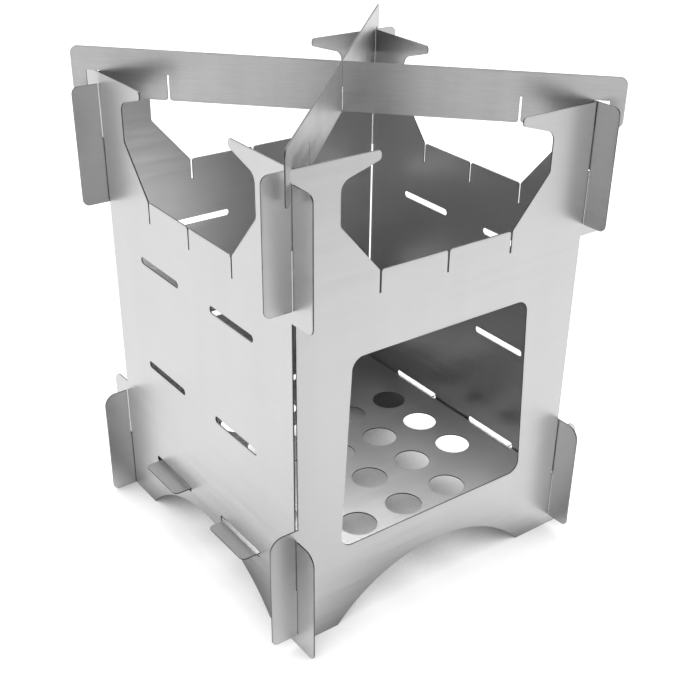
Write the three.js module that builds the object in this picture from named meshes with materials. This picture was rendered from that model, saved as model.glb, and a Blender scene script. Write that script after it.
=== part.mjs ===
// A flat-pack wood stove for camping: seven plates of stainless sheet that hold each other up by their own
// slots, with no screw, weld or fold. Four walls lock at the corners, a grate hangs in two of them by its
// tabs, and two crossbars stand on edge over the corners to carry a pot.
// Millimetres, +Z up. The origin is on the ground under the middle; the fuel window faces -Y.
import * as THREE from "three";

// ---------------------------------------------------------------- sheet and fits
const sheet = 0.5; // thickness of every plate
const clearance = 0.3; // gap between two plates that cross or pass through each other
const cornerGap = 0.4; // between the end of a wall and the inner face of the wall it meets
const spareSlotPlay = 0.2; // total play of a bar in the narrow slots that are free in this set-up
const chordError = 0.03; // how far a facet may leave the true arc

// ---------------------------------------------------------------- walls
const wallSpacing = 120; // between the middle planes of opposite walls
const wallHeight = 171;
const earReach = 10.2; // from the neighbour's middle plane to the free edge of an ear
const upperEarHeight = 43;
const lowerEarHeight = 44.4;
const earStep = 4.3; // the ears on a wall's right side sit this much lower than those on its left
const earRadius = 2.5;
const lowerEarShoulder = 5; // bigger radius on top of the lower ears
const archWidth = 86; // opening between the feet
const archHeight = 19;

// The cut-out in the top edge leaves two horns that point inwards. It sits a little left of the middle.
const cutoutShift = -1.2;
const cutoutWidth = 84.6;
const cutoutDepth = 37.7;
const cutoutRadius = 2;
const slantRise = 17.2; // height of the slanted sides at the bottom of the cut-out
const hornGap = 56; // between the two horn tips
const hornTip = 2.9; // height of the blunt tip
const hornRoot = 7.2; // height of the horn where its underside meets the side of the cut-out
const hornRadius = 1.3;
const hornRootRadius = 4;

// Three narrow slots below the cut-out hold a bar when the bars stand side by side instead of crossed.
const barSlotPitch = 27.1;
const barSlotDepth = 7.8;
const slotLip = 1; // radius at the mouth of a narrow slot

// ---------------------------------------------------------------- window and vents
const windowShift = -1;
const windowSill = 33.3;
const windowHeight = 72.3;
const windowTopWidth = 74.6;
const windowBottomWidth = 82.2;
const windowRadius = 4.5;

const ventRows = 3;
const ventRowPitch = 42.3;
const lowestVent = 24.3; // middle of the lowest row above the ground
const ventOffset = 24; // from the middle of the wall to the middle of a slot
const ventLength = 26.7;
const ventHeight = 2.6;

// ---------------------------------------------------------------- grate
const grateEdgeGap = 0.6; // between the grate's edges and the walls
const tabWidth = 23.4;
const tabReach = 6.2; // how far a tab shows outside the wall
const tabRadius = 2;
const holesPerSide = 5; // the grid leaves out its four corner holes
const holePitch = 21;
const holeDiameter = 13.7;

// ---------------------------------------------------------------- crossbars
const barHeight = 17;
const barSeat = 8.7; // how far a bar hangs below the top edge of the walls
const barEndReach = 9.1; // from the corner crossing to the end of the bar
const barRadius = 2.7;
const endSlotWidth = 5;

// ---------------------------------------------------------------- places worked out from the sizes above
const halfSpacing = wallSpacing / 2;
const innerFace = halfSpacing - sheet / 2;
const outerFace = halfSpacing + sheet / 2;
const crossSlotWidth = sheet + 2 * clearance;
const narrowSlotWidth = sheet + spareSlotPlay;
const barBottom = wallHeight - barSeat;
const barMiddle = barBottom + barHeight / 2;

// ---------------------------------------------------------------- outlines
const corner = (x, y, radius = 0) => ({ x, y, radius });

// Points along an arc, close enough together to stay within chordError of it.
function arcPoints(centre, radius, from, to) {
  const step = 2 * Math.acos(1 - Math.min(chordError / radius, 0.5));
  const count = Math.max(2, Math.ceil(Math.abs(to - from) / step));
  return Array.from({ length: count + 1 }, (_, i) => {
    const angle = from + ((to - from) * i) / count;
    return new THREE.Vector2(centre.x + radius * Math.cos(angle), centre.y + radius * Math.sin(angle));
  });
}

// The arc that rounds the corner between its two neighbours, or the bare corner if it has no radius.
function roundedCorner(before, here, after) {
  const point = new THREE.Vector2(here.x, here.y);
  if (!here.radius) return [point];
  const back = new THREE.Vector2(before.x, before.y).sub(point);
  const ahead = new THREE.Vector2(after.x, after.y).sub(point);
  const halfAngle = Math.abs(back.angleTo(ahead)) / 2;
  const room = Math.min(back.length(), ahead.length()) / 2;
  const radius = Math.min(here.radius, room * Math.tan(halfAngle));
  back.normalize();
  ahead.normalize();
  const centre = back.clone().add(ahead).setLength(radius / Math.sin(halfAngle)).add(point);
  const tangent = radius / Math.tan(halfAngle);
  const from = back.clone().setLength(tangent).add(point).sub(centre).angle();
  let sweep = ahead.clone().setLength(tangent).add(point).sub(centre).angle() - from;
  if (sweep > Math.PI) sweep -= 2 * Math.PI;
  if (sweep < -Math.PI) sweep += 2 * Math.PI;
  return arcPoints(centre, radius, from, from + sweep);
}

// A closed run of points through the corners. A corner with an archRise is followed by an arc of that
// rise to the next corner instead of a straight edge.
function outlinePoints(corners) {
  return corners.flatMap((here, i) => {
    const before = corners.at(i - 1);
    const after = corners[(i + 1) % corners.length];
    const points = roundedCorner(before, here, after);
    return here.archRise ? points.concat(archPoints(here, after, here.archRise)) : points;
  });
}

// The inner points of an arch that springs from two corners at the same height.
function archPoints(from, to, rise) {
  const halfSpan = Math.abs(to.x - from.x) / 2;
  const radius = (halfSpan ** 2 + rise ** 2) / (2 * rise);
  const centre = { x: (from.x + to.x) / 2, y: from.y + rise - radius };
  const start = Math.atan2(from.y - centre.y, from.x - centre.x);
  const end = Math.atan2(to.y - centre.y, to.x - centre.x);
  return arcPoints(centre, radius, start, end).slice(1, -1);
}

// A straight slot cut square into an edge at height `mouth` as far as `end`. Corners run in +x order.
function slot(x, width, mouth, end, lip = 0) {
  return [
    corner(x - width / 2, mouth, lip),
    corner(x - width / 2, end),
    corner(x + width / 2, end),
    corner(x + width / 2, mouth, lip),
  ];
}

// A rectangle or trapezoid with rounded corners, as a hole.
function fourSidedHole(x, bottom, height, bottomWidth, topWidth, radius) {
  const top = bottom + height;
  return new THREE.Path(
    outlinePoints([
      corner(x - bottomWidth / 2, bottom, radius),
      corner(x + bottomWidth / 2, bottom, radius),
      corner(x + topWidth / 2, top, radius),
      corner(x - topWidth / 2, top, radius),
    ])
  );
}

function plate(name, shape, material) {
  const geometry = new THREE.ExtrudeGeometry(shape, { depth: sheet, bevelEnabled: false });
  const mesh = new THREE.Mesh(geometry, material);
  mesh.name = name;
  return mesh;
}

// ---------------------------------------------------------------- the outline shared by the four walls
// Seen from outside, x runs to the right and y up. Each side carries an upper and a lower ear that cross
// the neighbour. On the left the ears are high and their slots open downwards; on the right they are low
// and their slots open upwards, so every wall hooks over the one on its left.
function wallShape() {
  const sideEdge = innerFace - cornerGap;
  const slotBack = outerFace + clearance;
  const reach = halfSpacing + earReach;

  const lowerLeft = { bottom: earStep, top: earStep + lowerEarHeight };
  const lowerRight = { bottom: 0, top: lowerEarHeight };
  const upperLeft = { bottom: wallHeight - upperEarHeight, top: wallHeight };
  const upperRight = { bottom: upperLeft.bottom - earStep, top: upperLeft.top - earStep };
  const lowerSeat = (lowerLeft.bottom + lowerRight.top) / 2;
  const upperSeat = (upperLeft.bottom + upperRight.top) / 2;

  const foot = [
    corner(-sideEdge, 0),
    { ...corner(-archWidth / 2, 0), archRise: archHeight },
    corner(archWidth / 2, 0),
  ];

  const rightSide = [
    corner(reach, lowerRight.bottom, earRadius),
    corner(reach, lowerRight.top, lowerEarShoulder),
    corner(slotBack, lowerRight.top),
    corner(slotBack, lowerSeat - clearance),
    corner(sideEdge, lowerSeat - clearance),
    corner(sideEdge, upperRight.bottom),
    corner(reach, upperRight.bottom, earRadius),
    corner(reach, upperRight.top, earRadius),
    corner(slotBack, upperRight.top),
    corner(slotBack, upperSeat - clearance),
    corner(sideEdge, upperSeat - clearance),
    corner(sideEdge, wallHeight),
  ];

  const leftSide = [
    corner(-reach, upperLeft.top, earRadius),
    corner(-reach, upperLeft.bottom, earRadius),
    corner(-slotBack, upperLeft.bottom),
    corner(-slotBack, upperSeat + clearance),
    corner(-sideEdge, upperSeat + clearance),
    corner(-sideEdge, lowerLeft.top),
    corner(-reach, lowerLeft.top, lowerEarShoulder),
    corner(-reach, lowerLeft.bottom, earRadius),
    corner(-slotBack, lowerLeft.bottom),
    corner(-slotBack, lowerSeat + clearance),
    corner(-sideEdge, lowerSeat + clearance),
  ];

  return new THREE.Shape(outlinePoints([...foot, ...rightSide, ...topCutout(), ...leftSide]));
}

// The cut-out between the horns, with the three narrow slots in its lower edge, from left to right.
function cutoutLeftToRight() {
  const sill = wallHeight - cutoutDepth;
  const horn = (side) => [
    corner(cutoutShift + (side * hornGap) / 2, wallHeight, hornRadius),
    corner(cutoutShift + (side * hornGap) / 2, wallHeight - hornTip, hornRadius),
    corner(cutoutShift + (side * cutoutWidth) / 2, wallHeight - hornRoot, hornRootRadius),
    corner(cutoutShift + (side * cutoutWidth) / 2, sill + slantRise, cutoutRadius),
  ];
  const slots = [-1, 0, 1].flatMap((place) =>
    slot(cutoutShift + place * barSlotPitch, narrowSlotWidth, sill, sill - barSlotDepth, slotLip)
  );
  return [...horn(-1), ...slots, ...horn(1).reverse()];
}

function topCutout() {
  return cutoutLeftToRight().reverse();
}

// ---------------------------------------------------------------- the four walls
function fuelWindow() {
  return fourSidedHole(
    windowShift, windowSill, windowHeight, windowBottomWidth, windowTopWidth, windowRadius
  );
}

function vents() {
  const holes = [];
  for (let row = 0; row < ventRows; row += 1) {
    const bottom = lowestVent + row * ventRowPitch - ventHeight / 2;
    for (const side of [-1, 1]) {
      holes.push(
        fourSidedHole(side * ventOffset, bottom, ventHeight, ventLength, ventLength, ventHeight / 2)
      );
    }
  }
  return holes;
}

// The wall stands on the side of the stove that faces `turn` quarter turns clockwise from the front.
function wall(name, turn, holes, material) {
  const shape = wallShape();
  shape.holes = holes;
  const mesh = plate(name, shape, material);
  mesh.rotation.x = Math.PI / 2;
  mesh.position.y = -innerFace;
  const side = new THREE.Group();
  side.rotation.z = (-turn * Math.PI) / 2;
  side.add(mesh);
  return side;
}

// ---------------------------------------------------------------- grate
function grateShape() {
  const half = innerFace - grateEdgeGap;
  const tabEnd = outerFace + tabReach;
  const near = ventOffset - tabWidth / 2;
  const far = ventOffset + tabWidth / 2;
  const tab = (side, from, to) => [
    corner(side * half, from),
    corner(side * tabEnd, from, tabRadius),
    corner(side * tabEnd, to, tabRadius),
    corner(side * half, to),
  ];
  const shape = new THREE.Shape(
    outlinePoints([
      corner(-half, -half),
      corner(half, -half),
      ...tab(1, -far, -near),
      ...tab(1, near, far),
      corner(half, half),
      corner(-half, half),
      ...tab(-1, far, near),
      ...tab(-1, -near, -far),
    ])
  );
  shape.holes = grateHoles();
  return shape;
}

function grateHoles() {
  const holes = [];
  const last = (holesPerSide - 1) / 2;
  for (let column = -last; column <= last; column += 1) {
    for (let row = -last; row <= last; row += 1) {
      if (Math.abs(column) === last && Math.abs(row) === last) continue;
      const centre = { x: column * holePitch, y: row * holePitch };
      holes.push(new THREE.Path(arcPoints(centre, holeDiameter / 2, 0, 2 * Math.PI).slice(1)));
    }
  }
  return holes;
}

function grate(material) {
  const mesh = plate("grate", grateShape(), material);
  mesh.position.z = lowestVent - ventHeight / 2 + clearance;
  return mesh;
}

// ---------------------------------------------------------------- crossbars
// A bar runs from corner to corner. Its end slots drop over the crossing of two walls, its two narrow
// slots fit a pair of opposite walls when the bars stand side by side, and its middle slot halves with
// the other bar.
function barShape(middleSlotOpensUp) {
  const crossing = halfSpacing * Math.SQRT2;
  const crossingHalf = (sheet * (1 + Math.SQRT2)) / 2 + clearance * Math.SQRT2;
  const end = crossing + barEndReach;
  const endSlotAt = crossing - crossingHalf + endSlotWidth / 2;
  const top = barBottom + barHeight;
  const seat = wallHeight + clearance;

  const endSlot = (side) => slot(side * endSlotAt, endSlotWidth, barBottom, seat);
  const narrowSlot = (side) => slot(side * halfSpacing, narrowSlotWidth, barBottom, wallHeight, slotLip);
  const upSlot = slot(0, crossSlotWidth, top, barMiddle - clearance / 2).reverse();
  const downSlot = slot(0, crossSlotWidth, barBottom, barMiddle + clearance / 2);

  return new THREE.Shape(
    outlinePoints([
      corner(-end, barBottom, barRadius),
      ...endSlot(-1),
      ...narrowSlot(-1),
      ...(middleSlotOpensUp ? [] : downSlot),
      ...narrowSlot(1),
      ...endSlot(1),
      corner(end, barBottom, barRadius),
      corner(end, top, barRadius),
      ...(middleSlotOpensUp ? upSlot : []),
      corner(-end, top, barRadius),
    ])
  );
}

// The bar stands on the diagonal that is `turn` eighths of a turn from +X.
function crossbar(name, turn, middleSlotOpensUp, material) {
  const mesh = plate(name, barShape(middleSlotOpensUp), material);
  mesh.rotation.x = Math.PI / 2;
  mesh.position.y = sheet / 2;
  const diagonal = new THREE.Group();
  diagonal.rotation.z = (turn * Math.PI) / 4;
  diagonal.add(mesh);
  return diagonal;
}

// ---------------------------------------------------------------- assembly
const brushedSteel = (color) => new THREE.MeshStandardMaterial({ color, metalness: 0.9, roughness: 0.42 });

const stove = new THREE.Group();
stove.add(
  wall("front_wall", 0, [fuelWindow()], brushedSteel(0xd6d7d9)),
  wall("left_wall", 1, vents(), brushedSteel(0xd0d1d3)),
  wall("back_wall", 2, vents(), brushedSteel(0xcbccce)),
  wall("right_wall", 3, vents(), brushedSteel(0xc6c7c9)),
  grate(brushedSteel(0xbdbec0)),
  crossbar("lower_crossbar", 1, true, brushedSteel(0xb9babc)),
  crossbar("upper_crossbar", -1, false, brushedSteel(0xb3b4b6))
);

export default stove;
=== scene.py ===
import math

import bpy
from mathutils import Matrix, Vector


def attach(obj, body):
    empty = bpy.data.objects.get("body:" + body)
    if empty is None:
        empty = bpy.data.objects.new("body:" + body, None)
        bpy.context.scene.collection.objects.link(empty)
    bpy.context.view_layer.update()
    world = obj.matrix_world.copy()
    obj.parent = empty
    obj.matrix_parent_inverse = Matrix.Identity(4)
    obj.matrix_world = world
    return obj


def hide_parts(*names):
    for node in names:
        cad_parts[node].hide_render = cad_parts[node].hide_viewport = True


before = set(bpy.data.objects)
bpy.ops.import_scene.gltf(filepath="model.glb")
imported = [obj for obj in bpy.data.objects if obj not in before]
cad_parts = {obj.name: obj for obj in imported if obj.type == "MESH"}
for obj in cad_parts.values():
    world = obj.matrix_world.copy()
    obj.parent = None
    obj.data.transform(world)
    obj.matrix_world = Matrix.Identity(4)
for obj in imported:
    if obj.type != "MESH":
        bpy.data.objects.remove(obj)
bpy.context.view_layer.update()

# ---------------------------------------------------------------- the four walls
# Flat plates of 0.5 mm stainless sheet, laser-cut to one outline and brushed along their width. Each wall
# hooks over its left neighbour with slotted ears, and nothing else holds the corners together.

MM = 0.001
SHEET = 0.5
EDGE_BREAK = 0.06  # the burr is tumbled off all cut edges
RIM_WIDTH = 0.85  # strip beside a cut that the laser's heat and handling have marked
HALF_SPACING = 60.0
OUTER_FACE = HALF_SPACING + SHEET / 2
INNER_FACE = HALF_SPACING - SHEET / 2
SLOT_CLEARANCE = 0.3
WALL_HEIGHT = 171.0


def put(tree, kind, values=None, **settings):
    """Adds a node. Each value is a number, a vector or the output of another node."""
    node = tree.nodes.new(kind)
    for setting, choice in settings.items():
        setattr(node, setting, choice)
    for socket, value in (values or {}).items():
        if isinstance(value, bpy.types.NodeSocket):
            tree.links.new(value, node.inputs[socket])
        else:
            node.inputs[socket].default_value = value
    return node


def new_tree(name, inputs):
    """An empty geometry tree with named inputs."""
    tree = bpy.data.node_groups.new(name, "GeometryNodeTree")
    tree.is_modifier = True
    tree.interface.new_socket("Geometry", in_out="INPUT", socket_type="NodeSocketGeometry")
    for label, kind in inputs.items():
        tree.interface.new_socket(label, in_out="INPUT", socket_type="NodeSocket" + kind)
    tree.interface.new_socket("Geometry", in_out="OUTPUT", socket_type="NodeSocketGeometry")
    return tree, tree.nodes.new("NodeGroupInput").outputs


def add_tree(obj, tree, values):
    """Puts a tree on an object as a modifier and sets its named inputs."""
    modifier = obj.modifiers.new(tree.name, "NODES")
    modifier.node_group = tree
    for item in tree.interface.items_tree:
        if item.in_out == "INPUT" and item.name in values:
            modifier[item.identifier] = values[item.name]


def make_hole_pattern_tree():
    """Adds a grid of round or long holes to an outline, without those too far from the grid's middle."""
    tree, given = new_tree("hole pattern", {
        "Columns": "Int", "Rows": "Int", "Column pitch": "Float", "Row pitch": "Float",
        "Middle": "Vector", "Hole length": "Float", "Hole height": "Float", "Reach": "Float",
    })

    def times(a, b):
        return put(tree, "ShaderNodeMath", {0: a, 1: b}, operation="MULTIPLY").outputs[0]

    def minus(a, b):
        return put(tree, "ShaderNodeMath", {0: a, 1: b}, operation="SUBTRACT").outputs[0]

    position = put(tree, "GeometryNodeInputPosition").outputs[0]
    middles = put(tree, "GeometryNodeMeshGrid", {
        "Size X": times(minus(given["Columns"], 1.0), given["Column pitch"]),
        "Size Y": times(minus(given["Rows"], 1.0), given["Row pitch"]),
        "Vertices X": given["Columns"],
        "Vertices Y": given["Rows"],
    }).outputs["Mesh"]
    distance = put(tree, "ShaderNodeVectorMath", {0: position}, operation="LENGTH").outputs["Value"]
    near = put(tree, "FunctionNodeCompare", {0: distance, 1: given["Reach"]}, data_type="FLOAT",
               operation="LESS_THAN").outputs[0]

    # A circle whose left and right halves are pulled apart is a hole with round ends.
    circle = put(tree, "GeometryNodeCurvePrimitiveCircle", {
        "Resolution": 46,
        "Radius": times(given["Hole height"], 0.5),
    }, mode="RADIUS").outputs["Curve"]
    across = put(tree, "ShaderNodeSeparateXYZ", {0: position}).outputs["X"]
    side = put(tree, "ShaderNodeMath", {0: across}, operation="SIGN").outputs[0]
    pull = times(side, times(minus(given["Hole length"], given["Hole height"]), 0.5))
    pull = put(tree, "ShaderNodeCombineXYZ", {"X": pull}).outputs[0]
    hole = put(tree, "GeometryNodeSetPosition", {"Geometry": circle, "Offset": pull}).outputs[0]
    hole = put(tree, "GeometryNodeReverseCurve", {"Curve": hole}).outputs[0]

    holes = put(tree, "GeometryNodeInstanceOnPoints", {
        "Points": middles, "Selection": near, "Instance": hole,
    }).outputs[0]
    holes = put(tree, "GeometryNodeTranslateInstances", {
        "Instances": holes, "Translation": given["Middle"],
    }).outputs[0]
    holes = put(tree, "GeometryNodeRealizeInstances", {"Geometry": holes}).outputs[0]
    both = put(tree, "GeometryNodeJoinGeometry")
    tree.links.new(holes, both.inputs[0])
    tree.links.new(given["Geometry"], both.inputs[0])
    put(tree, "NodeGroupOutput", {0: both.outputs[0]})
    return tree


def make_cut_sheet_tree():
    """Turns an outline and its holes into a plate that hangs down from them, with broken edges."""
    tree, given = new_tree("cut sheet", {
        "Thickness": "Float", "Edge break": "Float", "Rim width": "Float",
        "Grain start": "Vector", "Finish": "Material",
    })

    def plus(a, b, operation="ADD"):
        return put(tree, "ShaderNodeMath", {0: a, 1: b}, operation=operation).outputs[0]

    def point(x, y):
        return put(tree, "ShaderNodeCombineXYZ", {"X": x, "Y": y}).outputs[0]

    # The cut edge in section, from the rim on the outer face to the rim on the inner face. `rim` says
    # how near a point is to the cut: 0 on the sheet, 0.5 where the broken edge starts and 1 on the cut.
    thickness = given["Thickness"]
    edge = given["Edge break"]
    inward = plus(0.0, edge, "SUBTRACT")
    rim = plus(inward, given["Rim width"], "SUBTRACT")
    section = [
        (point(rim, 0.0), 0.0),
        (point(inward, 0.0), 0.5),
        (point(0.0, edge), 1.0),
        (point(0.0, plus(thickness, edge, "SUBTRACT")), 1.0),
        (point(inward, thickness), 0.5),
        (point(rim, thickness), 0.0),
    ]
    index = put(tree, "GeometryNodeInputIndex").outputs[0]
    places = put(tree, "GeometryNodeIndexSwitch", {"Index": index}, data_type="VECTOR")
    nearness = put(tree, "GeometryNodeIndexSwitch", {"Index": index}, data_type="FLOAT")
    for i, (place, value) in enumerate(section):
        if i > 1:
            places.index_switch_items.new()
            nearness.index_switch_items.new()
        tree.links.new(place, places.inputs[i + 1])
        nearness.inputs[i + 1].default_value = value
    section_points = put(tree, "GeometryNodePoints", {
        "Count": len(section), "Position": places.outputs[0],
    }).outputs[0]
    section_curve = put(tree, "GeometryNodePointsToCurves", {"Points": section_points}).outputs[0]
    section_curve = put(tree, "GeometryNodeStoreNamedAttribute", {
        "Geometry": section_curve, "Name": "rim", "Value": nearness.outputs[0],
    }, data_type="FLOAT", domain="POINT").outputs[0]

    # Sweep the section round every loop, and close both faces inside the rim.
    loops = put(tree, "GeometryNodeSetCurveNormal", {"Curve": given["Geometry"]}, mode="Z_UP").outputs[0]
    sides = put(tree, "GeometryNodeCurveToMesh", {
        "Curve": loops, "Profile Curve": section_curve,
    }).outputs[0]
    normal = put(tree, "GeometryNodeInputNormal").outputs[0]
    to_rim = put(tree, "ShaderNodeVectorMath", {
        0: normal, "Scale": rim,
    }, operation="SCALE").outputs[0]
    rims = put(tree, "GeometryNodeSetPosition", {"Geometry": loops, "Offset": to_rim}).outputs[0]
    outer = put(tree, "GeometryNodeFillCurve", {"Curve": rims}, mode="TRIANGLES").outputs[0]
    inner = put(tree, "GeometryNodeFlipFaces", {"Mesh": outer}).outputs[0]
    down = put(tree, "ShaderNodeCombineXYZ", {"Z": plus(0.0, thickness, "SUBTRACT")}).outputs[0]
    inner = put(tree, "GeometryNodeTransform", {"Geometry": inner, "Translation": down}).outputs[0]
    plate = put(tree, "GeometryNodeJoinGeometry")
    for part in (sides, outer, inner):
        tree.links.new(part, plate.inputs[0])
    plate = put(tree, "GeometryNodeMergeByDistance", {
        "Geometry": plate.outputs[0], "Distance": 0.001 * MM,
    }).outputs[0]

    # The flat pattern goes along as a UV map, so that the grain follows each plate.
    position = put(tree, "GeometryNodeInputPosition").outputs[0]
    grain = put(tree, "ShaderNodeVectorMath", {0: position, 1: given["Grain start"]}).outputs[0]
    plate = put(tree, "GeometryNodeStoreNamedAttribute", {
        "Geometry": plate, "Name": "flat", "Value": grain,
    }, data_type="FLOAT2", domain="CORNER").outputs[0]
    plate = put(tree, "GeometryNodeRealizeInstances", {"Geometry": plate}).outputs[0]
    plate = put(tree, "GeometryNodeSetMaterial", {
        "Geometry": plate, "Material": given["Finish"],
    }).outputs[0]
    put(tree, "NodeGroupOutput", {0: plate})
    return tree


hole_pattern = make_hole_pattern_tree()
cut_sheet = make_cut_sheet_tree()


def rounded(corners, chord_error=0.004):
    """The points round a closed outline of (x, y, radius) corners in millimetres."""
    points = []
    for i, (x, y, radius) in enumerate(corners):
        here = Vector((x, y))
        if not radius:
            points.append(here)
            continue
        back = Vector(corners[i - 1][:2]) - here
        ahead = Vector(corners[(i + 1) % len(corners)][:2]) - here
        half_angle = back.angle(ahead) / 2
        radius = min(radius, min(back.length, ahead.length) / 2 * math.tan(half_angle))
        middle = here + (back.normalized() + ahead.normalized()).normalized() * radius / math.sin(half_angle)
        tangent = radius / math.tan(half_angle)
        start = here + back.normalized() * tangent - middle
        end = here + ahead.normalized() * tangent - middle
        sweep = math.atan2(start.cross(end), start.dot(end))
        points += arc(middle, start, sweep, chord_error)
    return points


def arc(middle, start, sweep, chord_error):
    """Points from middle + start through an angle, close enough to stay within chord_error."""
    step = 2 * math.acos(1 - chord_error / start.length)
    count = max(3, math.ceil(abs(sweep) / step))
    return [middle + Matrix.Rotation(sweep * i / count, 2) @ start for i in range(count + 1)]


def slot(x, width, mouth, end, lip=0.0):
    """The corners of a straight slot, in the order that an outline going to +X meets them."""
    return [(x - width / 2, mouth, lip), (x - width / 2, end, 0), (x + width / 2, end, 0),
            (x + width / 2, mouth, lip)]


def plate(name, loops, patterns, grain_start, finish, place):
    """Cuts a plate to its outline and puts it in its place on the stove."""
    curve = bpy.data.curves.new(name + "_outline", "CURVE")
    curve.dimensions = "3D"
    for loop in loops:
        spline = curve.splines.new("POLY")
        spline.points.add(len(loop) - 1)
        spline.points.foreach_set("co", [c for p in loop for c in (p[0] * MM, p[1] * MM, 0, 1)])
        spline.use_cyclic_u = True
    outline = bpy.data.objects.new(curve.name, curve)
    bpy.context.scene.collection.objects.link(outline)
    for pattern in patterns:
        add_tree(outline, hole_pattern, pattern)
    add_tree(outline, cut_sheet, {
        "Thickness": SHEET * MM, "Edge break": EDGE_BREAK * MM, "Rim width": RIM_WIDTH * MM,
        "Grain start": grain_start, "Finish": finish,
    })
    depsgraph = bpy.context.evaluated_depsgraph_get()
    mesh = bpy.data.meshes.new_from_object(
        outline.evaluated_get(depsgraph), preserve_all_data_layers=True, depsgraph=depsgraph
    )
    bpy.data.objects.remove(outline)
    mesh.name = name
    mesh.materials.clear()
    mesh.materials.append(finish)
    mesh.polygons.foreach_set("material_index", [0] * len(mesh.polygons))
    mesh.transform(place)
    mesh.polygons.foreach_set("use_smooth", [True] * len(mesh.polygons))
    mesh.set_sharp_from_angle(angle=math.radians(25))
    piece = bpy.data.objects.new(name, mesh)
    bpy.context.scene.collection.objects.link(piece)
    return piece


def brushed_stainless(name, tone, roughness, grain_depth, wave_depth, mottle):
    """Stainless sheet brushed along its length, faintly wavy and mottled, darker and rougher on the cuts."""
    material = bpy.data.materials.new(name)
    material.use_nodes = True
    tree = material.node_tree
    steel = tree.nodes["Principled BSDF"]
    steel.inputs["Metallic"].default_value = 1.0
    steel.inputs["Anisotropic"].default_value = 0.2

    flat = put(tree, "ShaderNodeUVMap", uv_map="flat").outputs[0]
    rim = put(tree, "ShaderNodeAttribute", attribute_name="rim").outputs["Fac"]

    def pattern(along, across, detail, roughness=0.55):
        """Noise with so many spots a metre along the grain and across it."""
        place = put(tree, "ShaderNodeMapping", {"Vector": flat, "Scale": (along, across, 1)}).outputs[0]
        return put(tree, "ShaderNodeTexNoise", {
            "Vector": place, "Scale": 1.0, "Detail": detail, "Roughness": roughness,
        }, noise_dimensions="2D").outputs["Fac"]

    def between(value, low, high, from_low=0.0, from_high=1.0):
        return put(tree, "ShaderNodeMapRange", {
            "Value": value, "From Min": from_low, "From Max": from_high, "To Min": low, "To Max": high,
        }).outputs[0]

    def product(a, b):
        return put(tree, "ShaderNodeMath", {0: a, 1: b}, operation="MULTIPLY").outputs[0]

    def total(a, b):
        return put(tree, "ShaderNodeMath", {0: a, 1: b}, operation="ADD").outputs[0]

    grain = pattern(90, 4200, 3)
    streaks = pattern(16, 420, 4)
    clouds = pattern(42, 60, 5)
    waves = pattern(10, 110, 2)
    smears = pattern(75, 9, 3)
    cut = between(rim, 0, 1, 0.6, 0.95)
    worn = product(between(rim, 0, 1, 0.05, 0.5), between(clouds, 0, 1, 0.42, 0.62))

    # Colour: the bare steel varies by a few hundredths, and a laser cut is left grey and dull.
    shade = 1.0
    for marks, share in ((grain, 0.035), (streaks, 0.02), (clouds, 0.035), (smears, 0.03)):
        share *= mottle
        shade = product(shade, between(marks, 1 - share, 1 + share, 0.2, 0.8))
    shade = product(shade, between(worn, 1.0, 0.86))
    shade = product(shade, between(cut, 1.0, 0.25))
    base = put(tree, "ShaderNodeVectorMath", {0: tone, "Scale": shade}, operation="SCALE").outputs[0]
    tree.links.new(base, steel.inputs["Base Color"])

    gloss = total(between(streaks, roughness - 0.03, roughness + 0.03), between(clouds, -0.03, 0.03))
    gloss = total(gloss, total(product(worn, 0.05), product(cut, 0.18)))
    tree.links.new(gloss, steel.inputs["Roughness"])

    height = total(product(grain, grain_depth * MM), product(streaks, grain_depth * 2.2 * MM))
    height = total(height, product(waves, wave_depth * MM))
    bump = put(tree, "ShaderNodeBump", {"Height": height, "Distance": 1.0, "Strength": 1.0}).outputs[0]
    tree.links.new(bump, steel.inputs["Normal"])
    tangent = put(tree, "ShaderNodeTangent", direction_type="UV_MAP", uv_map="flat").outputs[0]
    tree.links.new(tangent, steel.inputs["Tangent"])
    return material


# The shared outline. x runs to the right of someone who faces the wall from outside, y runs up.
EAR_REACH = HALF_SPACING + 10.2
EAR_RADIUS = 2.5
EAR_SHOULDER = 5.0  # bigger radius on top of the lower ears
LOWER_EAR = 44.4
UPPER_EAR = 43.0
EAR_STEP = 4.3  # the ears on the right sit this much lower than those on the left
FOOT_END = 43.0
ARCH_HEIGHT = 19.0
CORNER_GAP = 0.4
SIDE_EDGE = INNER_FACE - CORNER_GAP
SLOT_BACK = OUTER_FACE + SLOT_CLEARANCE
BAR_SLOT = SHEET + 0.2

lower_seat = (EAR_STEP + LOWER_EAR) / 2
upper_seat = WALL_HEIGHT - (UPPER_EAR + EAR_STEP) / 2
upper_left_bottom = WALL_HEIGHT - UPPER_EAR
upper_right_top = WALL_HEIGHT - EAR_STEP

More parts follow.
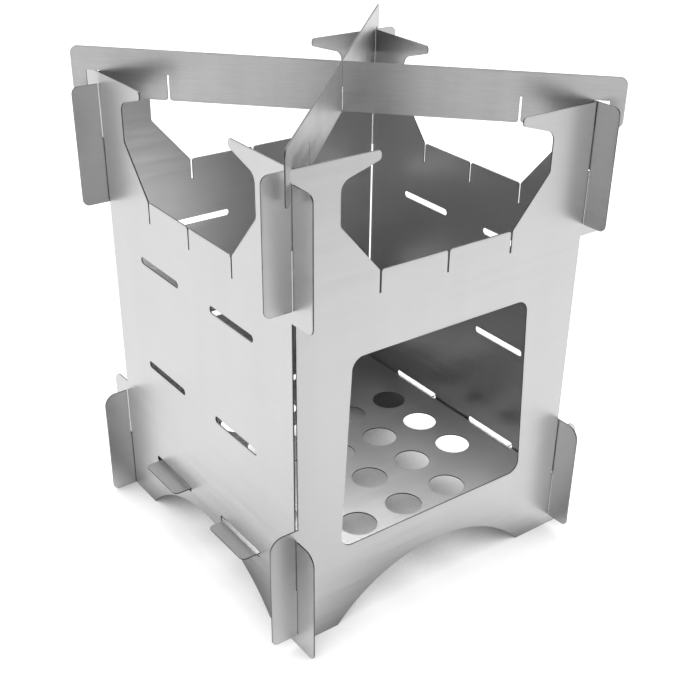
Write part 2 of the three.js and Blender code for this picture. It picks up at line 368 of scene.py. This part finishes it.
right_side = [
    (EAR_REACH, 0, EAR_RADIUS),
    (EAR_REACH, LOWER_EAR, EAR_SHOULDER),
    (SLOT_BACK, LOWER_EAR, 0),
    (SLOT_BACK, lower_seat - SLOT_CLEARANCE, 0),
    (SIDE_EDGE, lower_seat - SLOT_CLEARANCE, 0),
    (SIDE_EDGE, upper_left_bottom - EAR_STEP, 0),
    (EAR_REACH, upper_left_bottom - EAR_STEP, EAR_RADIUS),
    (EAR_REACH, upper_right_top, EAR_RADIUS),
    (SLOT_BACK, upper_right_top, 0),
    (SLOT_BACK, upper_seat - SLOT_CLEARANCE, 0),
    (SIDE_EDGE, upper_seat - SLOT_CLEARANCE, 0),
    (SIDE_EDGE, WALL_HEIGHT, 0),
]
left_side = [
    (-EAR_REACH, WALL_HEIGHT, EAR_RADIUS),
    (-EAR_REACH, upper_left_bottom, EAR_RADIUS),
    (-SLOT_BACK, upper_left_bottom, 0),
    (-SLOT_BACK, upper_seat + SLOT_CLEARANCE, 0),
    (-SIDE_EDGE, upper_seat + SLOT_CLEARANCE, 0),
    (-SIDE_EDGE, LOWER_EAR + EAR_STEP, 0),
    (-EAR_REACH, LOWER_EAR + EAR_STEP, EAR_SHOULDER),
    (-EAR_REACH, EAR_STEP, EAR_RADIUS),
    (-SLOT_BACK, EAR_STEP, 0),
    (-SLOT_BACK, lower_seat + SLOT_CLEARANCE, 0),
    (-SIDE_EDGE, lower_seat + SLOT_CLEARANCE, 0),
]

# The cut-out in the top edge leaves two horns, and three narrow slots in its sill take a crossbar.
CUTOUT_MIDDLE = -1.2
CUTOUT_SILL = WALL_HEIGHT - 37.7
horn = [(28.0, WALL_HEIGHT, 1.3), (28.0, WALL_HEIGHT - 2.9, 1.3), (42.3, WALL_HEIGHT - 7.2, 4.0),
        (42.3, CUTOUT_SILL + 17.2, 2.0)]
cutout = [(CUTOUT_MIDDLE - x, y, radius) for x, y, radius in horn]
for bar_slot in (-27.1, 0.0, 27.1):
    cutout += slot(CUTOUT_MIDDLE + bar_slot, BAR_SLOT, CUTOUT_SILL, CUTOUT_SILL - 7.8, 1.0)
cutout += [(CUTOUT_MIDDLE + x, y, radius) for x, y, radius in reversed(horn)]

# The arch between the feet is one arc from foot to foot.
arch_radius = (FOOT_END**2 + ARCH_HEIGHT**2) / (2 * ARCH_HEIGHT)
arch_middle = Vector((0, ARCH_HEIGHT - arch_radius))
foot_end = Vector((-FOOT_END, 0)) - arch_middle
arch_sweep = -2 * math.asin(FOOT_END / arch_radius)
arch = arc(arch_middle, foot_end, arch_sweep, 0.01)
wall_outline = rounded(
    [(-SIDE_EDGE, 0, 0)] + [(p.x, p.y, 0) for p in arch] + right_side + cutout[::-1] + left_side
)

# The front wall's window is a trapezoid that narrows upwards. The other walls have six long vents.
window = rounded([(-42.1, 33.3, 4.5), (-38.3, 105.6, 4.5), (36.3, 105.6, 4.5), (40.1, 33.3, 4.5)])
VENT_PITCH = 48.0
VENT_ROW_PITCH = 42.3
VENT_MIDDLE = 66.6
VENT_HEIGHT = 2.6
vents = {
    "Columns": 2, "Rows": 3, "Column pitch": VENT_PITCH * MM, "Row pitch": VENT_ROW_PITCH * MM,
    "Middle": (0, VENT_MIDDLE * MM, 0), "Hole length": 26.7 * MM, "Hole height": VENT_HEIGHT * MM,
    "Reach": 1.0,
}
wall_steel = brushed_stainless("wall_stainless", (0.66, 0.66, 0.66), 0.34, 0.0008, 0.2, 0.6)
stand_up = Matrix.Rotation(math.pi / 2, 4, "X")
for turn, side in enumerate(("front", "left", "back", "right")):
    loops = [wall_outline, window] if side == "front" else [wall_outline]
    patterns = [] if side == "front" else [vents]
    place = (
        Matrix.Rotation(-turn * math.pi / 2, 4, "Z") @ Matrix.Translation((0, -OUTER_FACE * MM, 0)) @ stand_up
    )
    wall = plate(side + "_wall_sheet", loops, patterns, (0.3 * turn, 0.7 * turn, 0), wall_steel, place)
    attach(wall, "stove")
    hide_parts(side + "_wall")

# ---------------------------------------------------------------- the grate
# A flat plate of the same sheet with round holes for ash and air. It is held only by its four tabs, which
# lie loose in the lowest vents of the left and right walls and show outside them.

LOWEST_VENT = VENT_MIDDLE - VENT_ROW_PITCH
GRATE_TOP = LOWEST_VENT - VENT_HEIGHT / 2 + SLOT_CLEARANCE + SHEET
GRATE_GAP = 0.6  # to the inner faces of the walls
TAB_REACH = 6.2
TAB_HALF_WIDTH = 11.7
HOLE_PITCH = 21.0
HOLE_SIZE = 13.7
grate_edge = INNER_FACE - GRATE_GAP
tab_end = OUTER_FACE + TAB_REACH
tab_near, tab_far = VENT_PITCH / 2 - TAB_HALF_WIDTH, VENT_PITCH / 2 + TAB_HALF_WIDTH
half_outline = [(-grate_edge, -grate_edge, 0), (grate_edge, -grate_edge, 0)]
for low, high in ((-tab_far, -tab_near), (tab_near, tab_far)):
    half_outline += [(grate_edge, low, 0), (tab_end, low, 2.0), (tab_end, high, 2.0), (grate_edge, high, 0)]
turned_half = [(-x, -y, radius) for x, y, radius in half_outline]
grate_steel = brushed_stainless("grate_stainless", (0.66, 0.66, 0.66), 0.45, 0.0008, 0.1, 0.8)
ash_holes = {
    "Columns": 5, "Rows": 5, "Column pitch": HOLE_PITCH * MM, "Row pitch": HOLE_PITCH * MM,
    "Middle": (0, 0, 0), "Hole length": HOLE_SIZE * MM, "Hole height": HOLE_SIZE * MM,
    "Reach": 55 * MM,  # leaves out the four corners
}
grate = plate(
    "grate_sheet",
    [rounded(half_outline + turned_half)],
    [ash_holes],
    (1.7, 0.2, 0),
    grate_steel,
    Matrix.Translation((0, 0, GRATE_TOP * MM)),
)
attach(grate, "stove")
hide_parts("grate")

# ---------------------------------------------------------------- the crossbars
# Two bars of the same sheet stand on edge over the corners and carry the pot. They halve into each other
# in the middle, and their wide end slots drop over the crossing ears. Nothing fastens them.

BAR_HEIGHT = 17.0
BAR_BOTTOM = WALL_HEIGHT - 8.7
BAR_TOP = BAR_BOTTOM + BAR_HEIGHT
CORNER = HALF_SPACING * math.sqrt(2)
BAR_END = CORNER + 9.1
BAR_RADIUS = 2.7
END_SLOT = 5.0
end_slot_at = CORNER + END_SLOT / 2
end_slot_at -= SHEET * (1 + math.sqrt(2)) / 2 + SLOT_CLEARANCE * math.sqrt(2)
halving_slot = SHEET + 2 * SLOT_CLEARANCE
halfway = (BAR_BOTTOM + BAR_TOP) / 2
bar_steel = brushed_stainless("bar_stainless", (0.66, 0.66, 0.66), 0.36, 0.0016, 0.2, 2.0)

for name, turn in (("lower_crossbar", 1), ("upper_crossbar", -1)):
    middle_slot_below = slot(0, halving_slot, BAR_BOTTOM, halfway + SLOT_CLEARANCE / 2)
    middle_slot_above = slot(0, halving_slot, BAR_TOP, halfway - SLOT_CLEARANCE / 2)[::-1]
    corners = [
        (-BAR_END, BAR_BOTTOM, BAR_RADIUS),
        *slot(-end_slot_at, END_SLOT, BAR_BOTTOM, WALL_HEIGHT + SLOT_CLEARANCE),
        *slot(-HALF_SPACING, BAR_SLOT, BAR_BOTTOM, WALL_HEIGHT, 1.0),
        *(middle_slot_below if name == "upper_crossbar" else []),
        *slot(HALF_SPACING, BAR_SLOT, BAR_BOTTOM, WALL_HEIGHT, 1.0),
        *slot(end_slot_at, END_SLOT, BAR_BOTTOM, WALL_HEIGHT + SLOT_CLEARANCE),
        (BAR_END, BAR_BOTTOM, BAR_RADIUS),
        (BAR_END, BAR_TOP, BAR_RADIUS),
        *(middle_slot_above if name == "lower_crossbar" else []),
        (-BAR_END, BAR_TOP, BAR_RADIUS),
    ]
    place = (
        Matrix.Rotation(turn * math.pi / 4, 4, "Z") @ Matrix.Translation((0, -SHEET / 2 * MM, 0)) @ stand_up
    )
    bar = plate(name + "_sheet", [rounded(corners)], [], (2.3, 0.9 * turn, 0), bar_steel, place)
    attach(bar, name)
    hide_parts(name)

# ---------------------------------------------------------------- floor, light and camera
# The stove stands on a white floor with painted shade that runs out of the picture, under a wide soft light
# overhead.
# What the metal shows of the floor and the room is not measured: it was set until the tones agreed with the
# photograph's. The camera itself sees both as white.


def grey_ramp(value, stops):
    """A grey that follows a value through (position, brightness) stops."""
    ramp = put(tree, "ShaderNodeValToRGB", {0: value})
    while len(ramp.color_ramp.elements) < len(stops):
        ramp.color_ramp.elements.new(0.5)
    for stop, (position, brightness) in zip(ramp.color_ramp.elements, stops):
        stop.position = position
        stop.color = (brightness, brightness, brightness, 1)
    return ramp.outputs[0]


floor_mesh = bpy.data.meshes.new("floor")
floor_mesh.from_pydata([(-6, -6, 0), (6, -6, 0), (6, 6, 0), (-6, 6, 0)], [], [(0, 1, 2, 3)])
floor = bpy.data.objects.new("floor", floor_mesh)
bpy.context.scene.collection.objects.link(floor)
floor_with_painted_shade = bpy.data.materials.new("floor_with_painted_shade")
floor_with_painted_shade.use_nodes = True
tree = floor_with_painted_shade.node_tree
paint = tree.nodes["Principled BSDF"]
paint.inputs["Roughness"].default_value = 0.9
paint.inputs["Specular IOR Level"].default_value = 0.0
paint.inputs["Emission Color"].default_value = (1, 1, 1, 1)

# Painted shade on the floor: its glow dims where the stove closes it in, a painted contact shadow. For all
# rays but the camera's, its colour and glow are also painted darker under the stove, in a band on the
# camera's side, and most in one long spot before the window.
CAMERA_SIDE = (-0.62, -0.79, 0)
PAINTED_SHADE_SPOT_MIDDLE = (-0.16, -0.21, 0)
PAINTED_SHADE_SPOT_SQUEEZE = (1.6, 1, 0)  # makes the spot narrower across the window than away from it
OPENNESS_REACH = 0.25
SEEN_FLOOR = 1.15  # takes the open floor to full white for the camera
rays = put(tree, "ShaderNodeLightPath").outputs
openness = put(tree, "ShaderNodeAmbientOcclusion", {"Distance": OPENNESS_REACH}, samples=16).outputs["AO"]
place = put(tree, "ShaderNodeTexCoord").outputs["Object"]
nearness = put(tree, "ShaderNodeVectorMath", {
    0: place, 1: CAMERA_SIDE,
}, operation="DOT_PRODUCT").outputs["Value"]
# Painted shade: the floor is painted darker in a band on the camera's side.
painted_shade_band = grey_ramp(nearness, [(0.0, 1.0), (0.2, 1.0), (0.25, 0.45), (0.31, 0.45), (0.38, 0.9)])
distance = put(tree, "ShaderNodeVectorMath", {0: place}, operation="LENGTH").outputs["Value"]
# Painted shade: the floor is painted nearly black under the stove.
painted_shade_under_stove = put(tree, "ShaderNodeMapRange", {
    "Value": distance, "From Min": 0.065, "From Max": 0.09, "To Min": 0.05, "To Max": 1.0,
}).outputs[0]
squeezed = put(tree, "ShaderNodeVectorMath", {0: place, 1: PAINTED_SHADE_SPOT_SQUEEZE}, operation="MULTIPLY").outputs[0]
distance = put(tree, "ShaderNodeVectorMath", {
    0: squeezed, 1: PAINTED_SHADE_SPOT_MIDDLE,
}, operation="DISTANCE").outputs["Value"]
# Painted shade: a long dark spot is painted on the floor before the window.
painted_shade_spot = put(tree, "ShaderNodeMapRange", {
    "Value": distance, "From Min": 0.06, "From Max": 0.17, "To Min": 0.1, "To Max": 1.0,
}, interpolation_type="SMOOTHSTEP").outputs[0]
light = put(tree, "ShaderNodeMath", {0: painted_shade_band, 1: painted_shade_under_stove}, operation="MULTIPLY").outputs[0]
light = put(tree, "ShaderNodeMath", {0: light, 1: painted_shade_spot}, operation="MULTIPLY").outputs[0]
seen = put(tree, "ShaderNodeMath", {0: rays["Is Camera Ray"], 1: SEEN_FLOOR}, operation="MULTIPLY").outputs[0]
light = put(tree, "ShaderNodeMath", {0: light, 1: seen}, operation="MAXIMUM").outputs[0]
# The floor's colour carries the painted shade.
floor_tone_with_painted_shade = put(tree, "ShaderNodeVectorMath", {0: (0.3, 0.3, 0.3), "Scale": light}, operation="SCALE").outputs[0]
tree.links.new(floor_tone_with_painted_shade, paint.inputs["Base Color"])
# The floor's glow follows the occlusion test, a painted contact shadow, and also carries the painted shade.
glow_with_painted_shade = put(tree, "ShaderNodeMapRange", {
    "Value": openness, "From Min": 0.0, "From Max": 0.55, "To Min": 0.0, "To Max": 0.85,
}).outputs[0]
glow_with_painted_shade = put(tree, "ShaderNodeMath", {0: glow_with_painted_shade, 1: light}, operation="MULTIPLY").outputs[0]
tree.links.new(glow_with_painted_shade, paint.inputs["Emission Strength"])
floor_mesh.materials.append(floor_with_painted_shade)

world = bpy.data.worlds.new("room")
world.use_nodes = True
bpy.context.scene.world = world
tree = world.node_tree
direction = put(tree, "ShaderNodeTexCoord").outputs["Generated"]
height = put(tree, "ShaderNodeSeparateXYZ", {0: direction}).outputs["Z"]
sky = grey_ramp(height, [(0.0, 0.6), (0.12, 0.4), (0.3, 0.03), (0.6, 0.02), (0.85, 0.03)])
nearness = put(tree, "ShaderNodeVectorMath", {
    0: direction, 1: CAMERA_SIDE,
}, operation="DOT_PRODUCT").outputs["Value"]
light = put(tree, "ShaderNodeMapRange", {
    "Value": nearness, "From Min": 0.0, "From Max": 0.6, "To Min": 1.0, "To Max": 0.6,
}, interpolation_type="SMOOTHSTEP").outputs[0]

# A pale patch to the back left is what the grate's tabs show.
PATCH_SIDE = Vector((-0.53, 0.69, 0.5)).normalized()
nearness = put(tree, "ShaderNodeVectorMath", {
    0: direction, 1: PATCH_SIDE,
}, operation="DOT_PRODUCT").outputs["Value"]
patch = put(tree, "ShaderNodeMapRange", {
    "Value": nearness, "From Min": 0.75, "From Max": 0.95, "To Min": 0.0, "To Max": 0.8,
}, interpolation_type="SMOOTHSTEP").outputs[0]
sky = put(tree, "ShaderNodeMath", {0: sky, 1: patch}, operation="ADD").outputs[0]

rays = put(tree, "ShaderNodeLightPath").outputs
room = tree.nodes["Background"]
tree.links.new(sky, room.inputs["Color"])
tree.links.new(light, room.inputs["Strength"])
backdrop = put(tree, "ShaderNodeBackground", {"Color": (1, 1, 1, 1), "Strength": 1.0})
either = put(tree, "ShaderNodeMixShader", {
    0: rays["Is Camera Ray"], 1: room.outputs[0], 2: backdrop.outputs[0],
})
tree.links.new(either.outputs[0], tree.nodes["World Output"].inputs["Surface"])

softbox_light = bpy.data.lights.new("softbox", "AREA")
softbox_light.shape = "RECTANGLE"
softbox_light.size = 1.2
softbox_light.size_y = 1.2
softbox_light.energy = 20
softbox = bpy.data.objects.new("softbox", softbox_light)
softbox.location = (0.42, 0.55, 1.15)
softbox.rotation_euler = Vector(softbox.location).to_track_quat("Z", "Y").to_euler()
bpy.context.scene.collection.objects.link(softbox)

# The camera stands where the photograph was taken from, solved from the corners of all seven plates.
camera_data = bpy.data.cameras.new("camera")
camera_data.sensor_width = 36
camera_data.lens = 58.680
camera_data.shift_x = -0.0322
camera_data.shift_y = 0.0388
camera_data.clip_start = 0.01
camera = bpy.data.objects.new("camera", camera_data)
bpy.context.scene.collection.objects.link(camera)
yaw, pitch, roll = math.radians(37.945), math.radians(-29.641), math.radians(1.527)
forward = Vector((math.cos(pitch) * math.sin(yaw), math.cos(pitch) * math.cos(yaw), math.sin(pitch)))
level_right = Vector((math.cos(yaw), -math.sin(yaw), 0))
level_up = level_right.cross(forward)
right = math.cos(roll) * level_right + math.sin(roll) * level_up
up = math.cos(roll) * level_up - math.sin(roll) * level_right
camera.matrix_world = Matrix.Translation(Vector((-223.817, -308.186, 275.498)) * MM) @ Matrix(
    (right, up, -forward)
).transposed().to_4x4()
bpy.context.scene.camera = camera

bpy.context.scene.view_settings.view_transform = "Standard"
